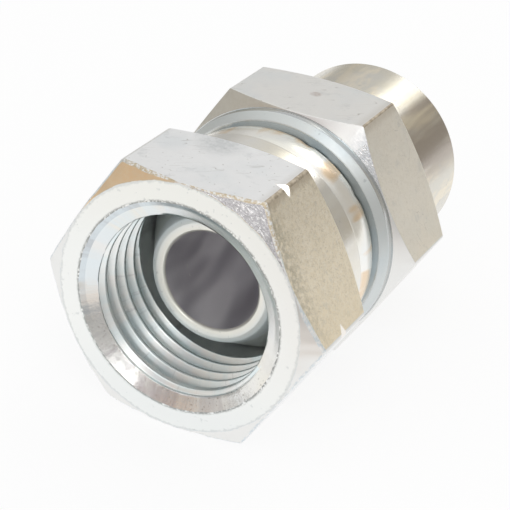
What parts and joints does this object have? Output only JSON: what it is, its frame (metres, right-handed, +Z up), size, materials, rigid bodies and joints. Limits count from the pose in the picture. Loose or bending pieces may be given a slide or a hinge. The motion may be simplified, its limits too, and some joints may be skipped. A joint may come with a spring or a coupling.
{
  "type": "hydraulic adapter",
  "caption": "Straight hydraulic adapter: a swaged hexagon swivel nut with a female parallel pipe thread round a 60 degree cone nose, a fixed hexagon, and a plain round spigot.",
  "frame": {"origin": "centre of the body's rear hexagon shoulder, where the spigot leaves it", "axes": "+Y along the flow axis towards the spigot's end, so the nut's mouth faces -Y; +Z up through a flat of each hexagon; +X completes a right-handed frame"},
  "size_m": [0.0312, 0.046, 0.027],
  "materials": {
    "body_steel": "zinc plate, clear with a slight yellow tint",
    "nut_steel": "zinc plate, clear with a slight yellow tint"
  },
  "bodies": {
    "body": {"adapter_body": "body_steel"},
    "nut": {"swivel_nut": "nut_steel"}
  },
  "joints": [
    {"name": "nut_swivel", "type": "hinge", "parent": "body", "child": "nut", "pos_m": [0, -0.022, 0], "axis": [0, 1, 0], "continuous": true}
  ]
}
